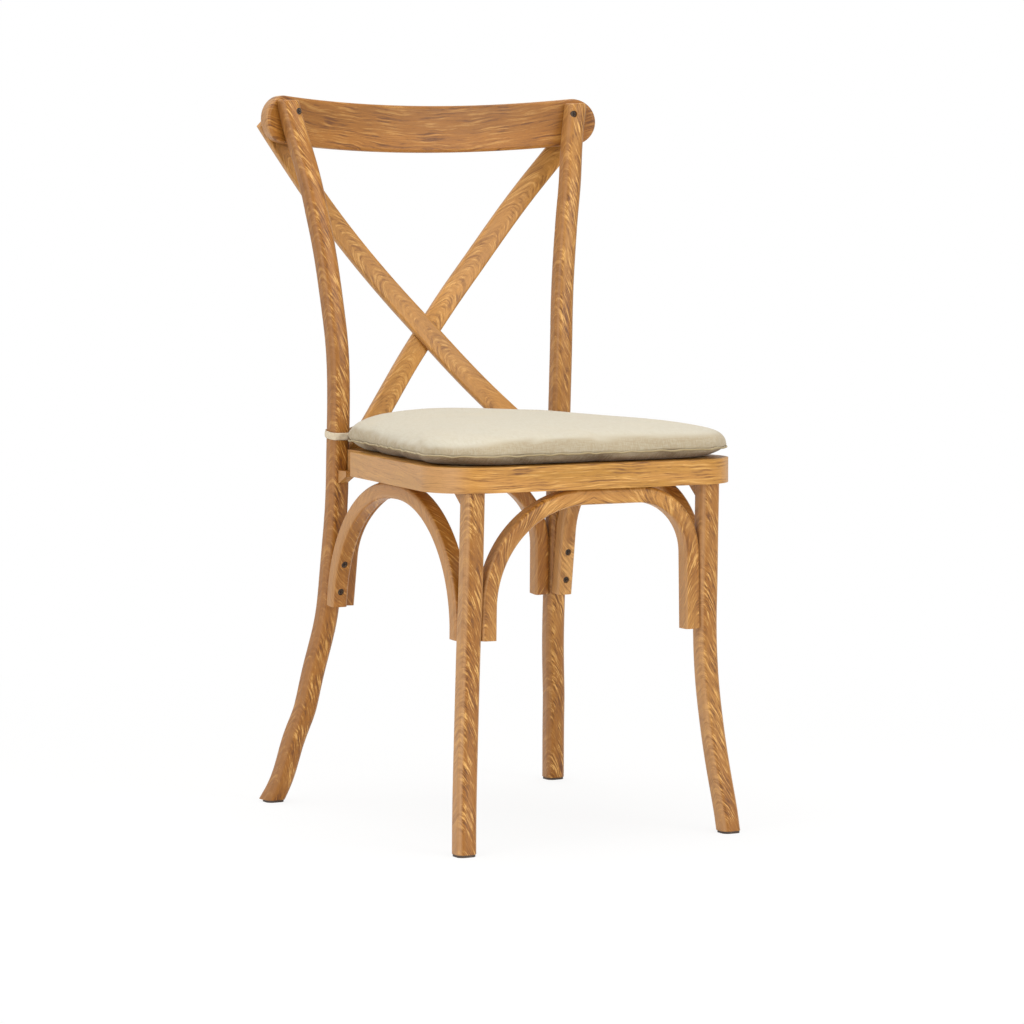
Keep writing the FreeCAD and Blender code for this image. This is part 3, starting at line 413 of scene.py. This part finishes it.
def linenMaterial(name, light="C3BDAD", shade="B7AE99", front="A5957A", thread=0.0009):
    # fine threads along each direction, seen on the faces that they lie in; upright faces take the deeper
    # front colour as painted shade, since the light falls from above, and the underside is painted dark as the
    # shadow under the pad
    g = Graph(name)
    place = (g.x, g.y, g.z)
    wobble = g.noise(g.place, scale=linen["wobble"], detail=2.0)
    shift = g.calc("MULTIPLY", wobble, linen["threadShift"])
    turns = [g.calc("ADD", g.calc("MULTIPLY", value, 2 * math.pi / thread), shift) for value in place]
    waves = [g.calc("SINE", turn) for turn in turns]
    facings = [g.calc("SUBTRACT", 1.0, g.calc("ABSOLUTE", n)) for n in (g.nx, g.ny, g.nz)]
    weave = g.calc("MULTIPLY", waves[0], facings[0])
    for wave, facing in zip(waves[1:], facings[1:]):
        weave = g.calc("ADD", weave, g.calc("MULTIPLY", wave, facing))
    slubAlong = g.stretched(place, linen["along"], detail=3.0, roughness=0.6)
    slubAcross = g.stretched(place, linen["across"], detail=3.0, roughness=0.6)
    slub = g.calc("ADD", slubAlong, slubAcross)
    blotch = g.noise(g.place, scale=linen["blotches"], detail=3.0)
    # painted light and shade: faces lying flat take the light colour, upright faces and those turned to +x the
    # front colour
    litFromAbove = g.calc("SUBTRACT", g.nz, g.calc("MULTIPLY", g.nx, linen["lyingTilt"]))
    ground = g.mix(g.between(litFromAbove, *linen["lyingFrom"]), tone(front), tone(light))
    # the faces turned down are painted dark: painted shadow under the pad
    ground = g.mix(g.between(g.nz, *linen["underFrom"]), ground, tone(linen["paintedUnderShadow"]))
    slubs = g.calc("MULTIPLY", g.between(slub, *linen["slubFrom"]), linen["slub"])
    gaps = g.calc("MULTIPLY", g.between(weave, *linen["gapFrom"]), linen["gapShare"])
    blotches = g.calc("MULTIPLY", g.between(blotch, *linen["blotchFrom"]), linen["blotchShare"])
    colour = g.mix(slubs, ground, tone(shade))
    colour = g.mix(gaps, colour, tone(linen["gap"]))
    colour = g.mix(blotches, colour, tone(linen["blotch"]))
    height = g.calc("ADD", g.calc("MULTIPLY", weave, linen["threadRise"]), slub)
    return g.finish(colour, 0.88, height, bump=0.4, depth=0.0004, Sheen_Weight=0.1, Sheen_Roughness=0.5)


cushion = {
    # heights: the floor, its rise near the edge, the seam, then the wall and the crown above it
    "floor": 0.4571, "lift": 0.0040, "seam": 0.4688, "wall": 0.0150, "crown": 0.0187,
    # how far in each of them runs, as a share of the way to the middle, and how it bends
    "liftReach": 0.3, "tuck": 0.10, "tuckPower": 1.6, "wallReach": 0.085, "wallPower": 2.4, "crownPower": 3.3,
    "frontY": -0.2405, "rearY": 0.1375, "frontX": 0.2085, "rearX": 0.1540,        # the seam's four sides
    "frontBend": 0.072, "rearBend": 0.017, "bulge": 0.0020, "bulgeFrom": 0.6,
    "rightStretch": 1.062, "stretchFade": 0.75,        # the right half is wider, most so at the front
    "ear": (0.1485, 0.1290), "earReach": 0.016, "earPinch": 0.85, "earLift": 0.0065, "earPull": 0.18,
    "lump": (-0.060, 0.085), "lumpReach": 0.110, "lumpRise": 0.0085,
    "points": 260, "voxel": 0.005, "cap": 0.0025, "frames": 20,
}
cloth = {
    "quality": 6, "mass": 0.3, "tension_stiffness": 18, "compression_stiffness": 18, "shear_stiffness": 6,
    "bending_stiffness": 2.0, "shrink_min": -0.02, "use_pressure": True, "uniform_pressure_force": 2.0,
}


def seamOutline(count):        # the seam seen from above: straight runs and round corners
    c = cushion
    corners = [(-c["frontX"], c["frontY"], c["frontBend"]), (c["frontX"], c["frontY"], c["frontBend"]),
               (c["rearX"], c["rearY"], c["rearBend"]), (-c["rearX"], c["rearY"], c["rearBend"])]
    runs = []
    for i, (x, y, radius) in enumerate(corners):
        here = np.array([x, y])
        back = np.array(corners[i - 1][:2]) - here
        ahead = np.array(corners[(i + 1) % 4][:2]) - here
        back /= np.linalg.norm(back)
        ahead /= np.linalg.norm(ahead)
        half = math.acos(np.dot(back, ahead)) / 2
        middle = here + (back + ahead) / np.linalg.norm(back + ahead) * radius / math.sin(half)
        start = here + back * radius / math.tan(half) - middle
        end = here + ahead * radius / math.tan(half) - middle
        first = math.atan2(start[1], start[0])
        sweep = (math.atan2(end[1], end[0]) - first + math.pi) % (2 * math.pi) - math.pi
        angle = first + sweep * np.linspace(0, 1, 24)
        runs.append(middle + radius * np.stack([np.cos(angle), np.sin(angle)], axis=1))
    line = np.concatenate(runs + [runs[0][:1]])
    step = np.r_[0, np.cumsum(np.linalg.norm(np.diff(line, axis=0), axis=1))]
    at = np.linspace(0, step[-1], count, endpoint=False)
    points = np.stack([np.interp(at, step, line[:, k]) for k in (0, 1)], axis=1)
    # the long sides bow out by a sine between their corners
    side = np.minimum(np.abs(points[:, 0]) / c["frontX"], 1)
    length = (points[:, 1] - c["frontY"]) / (c["rearY"] - c["frontY"])
    push = c["bulge"] * np.sin(np.pi * np.clip(length, 0, 1)) * (side > c["bulgeFrom"])
    points[:, 0] += np.sign(points[:, 0]) * push
    stretch = 1 + (c["rightStretch"] - 1) * (1 - c["stretchFade"] * np.clip(length, 0, 1))
    points[:, 0] *= np.where(points[:, 0] > 0, stretch, 1.0)
    return points


def pinch(points):        # the rear corners close to ears where the ties are sewn in
    c = cushion
    out = points.copy()
    for sign in (-1, 1):
        ear = np.array([sign * c["ear"][0], c["ear"][1]])
        gap = np.linalg.norm(out[:, :2] - ear, axis=1)
        close = np.exp(-(gap / c["earReach"]) ** 2)
        out[:, 2] += (c["seam"] + c["earLift"] - out[:, 2]) * close * c["earPinch"]
        out[:, :2] += (ear - out[:, :2]) * (close * c["earPull"])[:, None]
    return out


def cushionForm():
    # rings from the middle of the floor out to the seam and in again over the crown
    c = cushion
    outline = seamOutline(c["points"])
    centre = np.array([0.0, (c["frontY"] + c["rearY"]) / 2])
    below = np.array([1.0, 0.7, 0.4, 0.2, 0.13, 0.09, 0.06, 0.03, 0.01])
    above = np.array([0.0, 0.008, 0.02, 0.038, 0.06, 0.09, 0.13, 0.19, 0.28, 0.4, 0.55, 0.72, 0.88, 1.0])
    inset = np.concatenate([below, above])[:, None]
    raised = c["floor"] + c["lift"] * np.clip(1 - below / c["liftReach"], 0, 1)
    floor = raised + (c["seam"] - raised) * np.clip(1 - below / c["tuck"], 0, 1) ** c["tuckPower"]
    power = c["wallPower"]        # the wall is a quarter of a rounded box, the crown a flat dome
    wall = c["wall"] * (1 - np.clip(1 - above / c["wallReach"], 0, 1) ** power) ** (1 / power)
    dome = c["crown"] * (1 - (1 - above) ** c["crownPower"])
    height = np.concatenate([floor, c["seam"] + wall + dome])[:, None]
    flat = centre + (outline[None] - centre) * (1 - inset)[..., None]
    rows, count = len(inset), len(outline)
    grid = np.concatenate([flat, np.broadcast_to(height, (rows, count))[..., None]], axis=2)
    inner = grid[1:-1].reshape(-1, 3)
    points = np.concatenate([grid[0, :1], inner, grid[-1, :1]])
    # the filling is fuller near the left rear corner
    gap = np.linalg.norm(points[:, :2] - np.array(c["lump"]), axis=1) / c["lumpReach"]
    over = np.clip((points[:, 2] - c["seam"]) / c["wall"], 0, 1)
    points[:, 2] += c["lumpRise"] * np.exp(-gap ** 2) * over
    points = pinch(points)
    ring = np.arange(count)
    after = np.roll(ring, -1)
    faces = []
    last = 1 + (rows - 3) * count
    faces += np.stack([np.zeros(count, int), 1 + after, 1 + ring], axis=1).tolist()
    for row in range(rows - 3):
        a = 1 + row * count
        faces += np.stack([a + ring, a + after, a + count + after, a + count + ring], axis=1).tolist()
    faces += np.stack([last + ring, last + after, np.full(count, len(points) - 1)], axis=1).tolist()
    mesh = bpy.data.meshes.new("cushion")
    mesh.from_pydata(points.tolist(), [], faces)
    mesh.update()
    return mesh


def newObject(name, mesh, smooth=True):
    piece = bpy.data.objects.new(name, mesh)
    scene.collection.objects.link(piece)
    if smooth:
        mesh.shade_smooth()
    return piece


def applied(piece):        # the mesh with its modifiers in it
    bpy.context.view_layer.update()
    shown = piece.evaluated_get(bpy.context.evaluated_depsgraph_get())
    mesh = bpy.data.meshes.new_from_object(shown)
    piece.modifiers.clear()
    piece.data = mesh
    return mesh


def readPoints(mesh):
    flat = np.empty(len(mesh.vertices) * 3)
    mesh.vertices.foreach_get("co", flat)
    return flat.reshape(-1, 3)


def inflate(piece):
    # cloth under pressure, then no point further than the cap from where it was
    c = cushion
    remesh = piece.modifiers.new("even", "REMESH")
    remesh.mode = "VOXEL"
    remesh.voxel_size = c["voxel"]
    applied(piece)
    start = readPoints(piece.data)
    settings = piece.modifiers.new("cloth", "CLOTH").settings
    for key, value in cloth.items():
        setattr(settings, key, value)
    settings.effector_weights.gravity = 0
    for step in range(1, c["frames"] + 1):
        scene.frame_set(step)
    applied(piece)
    scene.frame_set(1)
    points = readPoints(piece.data)
    move = points - start
    far = np.linalg.norm(move, axis=1, keepdims=True)
    points = start + move * np.minimum(1, c["cap"] / np.maximum(far, 1e-9))
    points[:, 2] = np.maximum(points[:, 2], c["floor"])
    piece.data.vertices.foreach_set("co", points.ravel())
    piece.data.update()


cushionPiece = newObject("cushionPad", cushionForm())
inflate(cushionPiece)
calm = cushionPiece.modifiers.new("calm", "SMOOTH")
calm.factor = 0.5
calm.iterations = 4
smoother = cushionPiece.modifiers.new("finer", "SUBSURF")
smoother.levels = smoother.render_levels = 1
applied(cushionPiece)
cushionPiece.data.shade_smooth()
cushionPiece.data.materials.clear()
cushionPiece.data.materials.append(linenMaterial("linen"))
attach(cushionPiece, "root")
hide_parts("cushion_cover", "cushion_foam")
print("cushion done:", len(cushionPiece.data.polygons), "faces")


seam = {
    "radius": 0.0011, "near": 0.004, "clear": 0.0002, "least": 0.05, "bins": 360, "points": 720,
    "waves": ((0.0004, 37, 0), (0.0003, 61, 1)),        # height, how many in a turn, start
}


def closedTube(name, line, radius, sides=10):
    # a round section carried round a closed line, square to its direction
    ahead = np.roll(line, -1, axis=0) - np.roll(line, 1, axis=0)
    ahead /= np.linalg.norm(ahead, axis=1, keepdims=True)
    up = np.array([0.0, 0.0, 1.0])
    out = np.cross(ahead, up)
    out /= np.linalg.norm(out, axis=1, keepdims=True)
    rise = np.cross(out, ahead)
    turn = np.linspace(0, 2 * np.pi, sides, endpoint=False)
    ring = out[:, None] * np.cos(turn)[None, :, None] + rise[:, None] * np.sin(turn)[None, :, None]
    points = (line[:, None] + ring * radius).reshape(-1, 3)
    count = len(line)
    i = np.repeat(np.arange(count), sides)
    j = np.tile(np.arange(sides), count)
    k = (j + 1) % sides
    n = (i + 1) % count
    faces = np.stack([i * sides + j, n * sides + j, n * sides + k, i * sides + k], axis=1).tolist()
    mesh = bpy.data.meshes.new(name)
    mesh.from_pydata(points.tolist(), [], faces)
    mesh.update()
    return newObject(name, mesh)


def seamLine():        # where the pad is widest at the height of the seam, by direction from its middle
    c = cushion
    points = readPoints(cushionPiece.data)
    centre = np.array([0.0, (c["frontY"] + c["rearY"]) / 2])
    flat = points[np.abs(points[:, 2] - c["seam"]) < seam["near"], :2] - centre
    angle = np.arctan2(flat[:, 1], flat[:, 0])
    bins = ((angle + np.pi) / (2 * np.pi) * seam["bins"]).astype(int) % seam["bins"]
    widest = np.zeros(seam["bins"])
    np.maximum.at(widest, bins, np.linalg.norm(flat, axis=1))
    middle = (np.arange(seam["bins"]) + 0.5) / seam["bins"] * 2 * np.pi - np.pi
    found = widest > seam["least"]
    widest = np.where(found, widest, np.interp(middle, middle[found], widest[found]))
    at = np.linspace(-np.pi, np.pi, seam["points"], endpoint=False)
    radius = np.interp(at, np.r_[middle - 2 * np.pi, middle, middle + 2 * np.pi], np.tile(widest, 3))
    radius = radius + seam["clear"]
    wave = sum(rise * np.sin(at * often + first) for rise, often, first in seam["waves"])
    x, y = centre[0] + radius * np.cos(at), centre[1] + radius * np.sin(at)
    return np.stack([x, y, c["seam"] + wave], axis=1)


seamPiece = closedTube("cushionSeam", seamLine(), seam["radius"])
# the seam's linen is darker: painted shade for the dark line along the sewn seam
seamShadeLinen = linenMaterial("linenSeamShade", light="B9AA8A", shade="A08F6C", front="94835E", thread=0.0008)
seamPiece.data.materials.append(seamShadeLinen)
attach(seamPiece, "root")
print("seam done")


# ties

tape = {
    "width": 0.009, "thickness": 0.0011, "clear": 0.0009, "points": 90,
    "z": 0.473, "rise": 0.004, "risePower": 1.1, "dip": 0.0005,
    "post": (0.1585, 0.1428), "half": 0.013, "bend": 0.009,        # the post's middle, half width and corner
    "ear": (0.1440, 0.1262), "meetX": 0.1455,
    "tail": [(0.1405, 0.1515), (0.1330, 0.1440), (0.1215, 0.1325)], "tailRise": (0.006, 0.011, 0.0165),
    "crimp": 0.35, "ripple": 0.0003, "rippleStep": 0.7,
    "narrow": 0.6, "narrowFrom": 0.6, "narrowRun": 0.25,        # the last part is narrower
}


def ribbon(name, line):        # a flat band on edge: the line is its middle
    t = tape
    ahead = np.gradient(line, axis=0)
    ahead /= np.linalg.norm(ahead, axis=1, keepdims=True)
    out = np.cross(ahead, np.array([0.0, 0.0, 1.0]))
    out /= np.linalg.norm(out, axis=1, keepdims=True)
    rise = np.cross(out, ahead)
    across = np.linspace(-1, 1, 7)
    steps = np.arange(len(line))[:, None]
    ripple = t["ripple"] * np.sin(steps * t["rippleStep"] + across[None] * 2)
    share = np.linspace(0, 1, len(line))[:, None]
    wide = t["width"] / 2 * (1 - t["narrow"] * np.clip((share - t["narrowFrom"]) / t["narrowRun"], 0, 1))
    middle = line[:, None] + rise[:, None] * (across * wide)[..., None] + out[:, None] * ripple[..., None]
    half = out[:, None] * (t["thickness"] / 2 * (1 - t["crimp"] * across ** 2))[None, :, None]
    loop = np.concatenate([middle + half, (middle - half)[:, ::-1]], axis=1)
    count, sides = loop.shape[:2]
    i = np.repeat(np.arange(count - 1), sides)
    j = np.tile(np.arange(sides), count - 1)
    k = (j + 1) % sides
    faces = np.stack([i * sides + j, (i + 1) * sides + j, (i + 1) * sides + k, i * sides + k], axis=1).tolist()
    faces.append(list(range(sides)))
    faces.append(list(range((count - 1) * sides, count * sides))[::-1])
    mesh = bpy.data.meshes.new(name)
    mesh.from_pydata(loop.reshape(-1, 3).tolist(), [], faces)
    mesh.update()
    return newObject(name, mesh)


def tieLine(sign):
    # from the ear, across the front of the post, round its back and in to the pad's rear edge
    t = tape
    postX, postY = t["post"]
    reach = t["half"] + t["clear"] + t["thickness"] / 2
    bend = t["bend"] + t["clear"]
    turns = [(-1, -1), (1, -1), (1, 1), (-1, 1)]
    points = [t["ear"], (t["meetX"], postY - reach)]
    for a, b in turns:
        angle0 = math.atan2(b, a) - math.pi / 4
        arc = angle0 + np.linspace(0, math.pi / 2, 9)
        centreX, centreY = postX + a * (reach - bend), postY + b * (reach - bend)
        points += [(centreX + bend * math.cos(v), centreY + bend * math.sin(v)) for v in arc]
    points += t["tail"]
    flat = np.array(points)
    flat[:, 0] *= sign
    share = np.clip((flat[:, 1] - (postY - reach)) / (2 * reach), 0, 1)
    height = t["z"] + t["rise"] * share ** t["risePower"]
    height[0] -= t["dip"]
    height[-3:] = t["z"] + np.array(t["tailRise"])
    line = np.column_stack([flat, height])
    step = np.r_[0, np.cumsum(np.linalg.norm(np.diff(line, axis=0), axis=1))]
    at = np.linspace(0, step[-1], t["points"])
    line = np.stack([np.interp(at, step, line[:, k]) for k in range(3)], axis=1)
    kernel = np.ones(3) / 3
    inner = np.stack([np.convolve(line[:, k], kernel, "valid") for k in range(3)], axis=1)
    return np.concatenate([line[:1], inner, line[-1:]])


tapeMaterial = linenMaterial("linenTape", light="DACDB8", shade="C8B89D", front="D5C6AD")
for side, sign in (("left", -1), ("right", 1)):
    piece = ribbon("tie_" + side, tieLine(sign))
    piece.data.materials.append(tapeMaterial)
    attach(piece, "root")
    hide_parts("cushion_tie_" + side)
print("ties done")


# floor, light and camera

studio = {
    "floor": (0.84, 0.84, 0.83, 1.0), "floorRough": 0.9, "span": 60.0,
    "near": 0.35, "far": 1.6, "nearWhite": 0.86,        # how white the floor looks, by distance
    "seen": (1.0, 1.0, 1.0, 1.0), "lit": (1.0, 0.99, 0.97, 1.0), "litLevel": 0.78,        # the world
}


def floorMaterial():        # almost white to the eye near the chair, and quite white further off
    g = Graph("floor")
    lift = g.add("ShaderNodeEmission")
    lift.inputs["Color"].default_value = studio["seen"]
    g.shader.inputs["Base Color"].default_value = studio["floor"]
    g.shader.inputs["Roughness"].default_value = studio["floorRough"]
    away = g.calc("SQRT", g.calc("ADD", g.calc("MULTIPLY", g.x, g.x), g.calc("MULTIPLY", g.y, g.y)))
    white = g.between(away, studio["near"], studio["far"], studio["nearWhite"], 1.0)
    blend = g.add("ShaderNodeMixShader")
    g.put(blend.inputs[0], g.calc("MULTIPLY", g.add("ShaderNodeLightPath").outputs["Is Camera Ray"], white))
    g.put(blend.inputs[1], g.shader.outputs[0])
    g.put(blend.inputs[2], lift.outputs[0])
    output = [n for n in g.tree.nodes if n.type == "OUTPUT_MATERIAL"][0]
    g.put(output.inputs["Surface"], blend.outputs[0])
    return g.material


floorMesh = bpy.data.meshes.new("floor")
span = studio["span"]
corners = [(-span, -span, 0), (span, -span, 0), (span, span, 0), (-span, span, 0)]
floorMesh.from_pydata(corners, [], [(0, 1, 2, 3)])
floorPiece = newObject("floor", floorMesh, smooth=False)
floorMesh.materials.append(floorMaterial())

world = bpy.data.worlds.new("studio")
scene.world = world
world.use_nodes = True
tree = world.node_tree
tree.nodes.clear()
seen = tree.nodes.new("ShaderNodeBackground")
seen.inputs[0].default_value = studio["seen"]
lit = tree.nodes.new("ShaderNodeBackground")
lit.inputs[0].default_value = studio["lit"]
lit.inputs[1].default_value = studio["litLevel"]
rays = tree.nodes.new("ShaderNodeLightPath")
either = tree.nodes.new("ShaderNodeMath")
either.operation = "MAXIMUM"
tree.links.new(rays.outputs["Is Camera Ray"], either.inputs[0])
tree.links.new(rays.outputs["Is Transmission Ray"], either.inputs[1])
choice = tree.nodes.new("ShaderNodeMixShader")
tree.links.new(either.outputs[0], choice.inputs[0])
tree.links.new(lit.outputs[0], choice.inputs[1])
tree.links.new(seen.outputs[0], choice.inputs[2])
surface = tree.nodes.new("ShaderNodeOutputWorld")
tree.links.new(choice.outputs[0], surface.inputs[0])

lamps = {
    "key": {"at": (1.2, -3.1, 1.45), "towards": (0, 0, 0.45), "size": 1.6, "power": 36},
    "top": {"at": (-0.3, -0.2, 3.0), "towards": (0, 0, 0.4), "size": 2.0, "power": 42},
    "fill": {"at": (-3.0, -1.4, 1.3), "towards": (0, 0, 0.45), "size": 1.8, "power": 28},
}
for name, lamp in lamps.items():
    data = bpy.data.lights.new(name, "AREA")
    data.size = lamp["size"]
    data.energy = lamp["power"]
    light = bpy.data.objects.new(name, data)
    scene.collection.objects.link(light)
    light.location = lamp["at"]
    light.rotation_euler = (Vector(lamp["towards"]) - Vector(lamp["at"])).to_track_quat("-Z", "Y").to_euler()

view = {"at": (-2.2918, -4.2759, 0.7815), "direction": (0.4728, 0.8773, -0.0822), "lens": 137.6, "film": 36.0,
        "far": 200.0}
camera = bpy.data.objects.new("camera", bpy.data.cameras.new("camera"))
scene.collection.objects.link(camera)
camera.location = view["at"]
camera.rotation_euler = Vector(view["direction"]).to_track_quat("-Z", "Y").to_euler()
camera.data.lens = view["lens"]
camera.data.sensor_width = view["film"]
camera.data.clip_end = view["far"]
scene.camera = camera
scene.view_settings.view_transform = "Standard"
print("studio done")
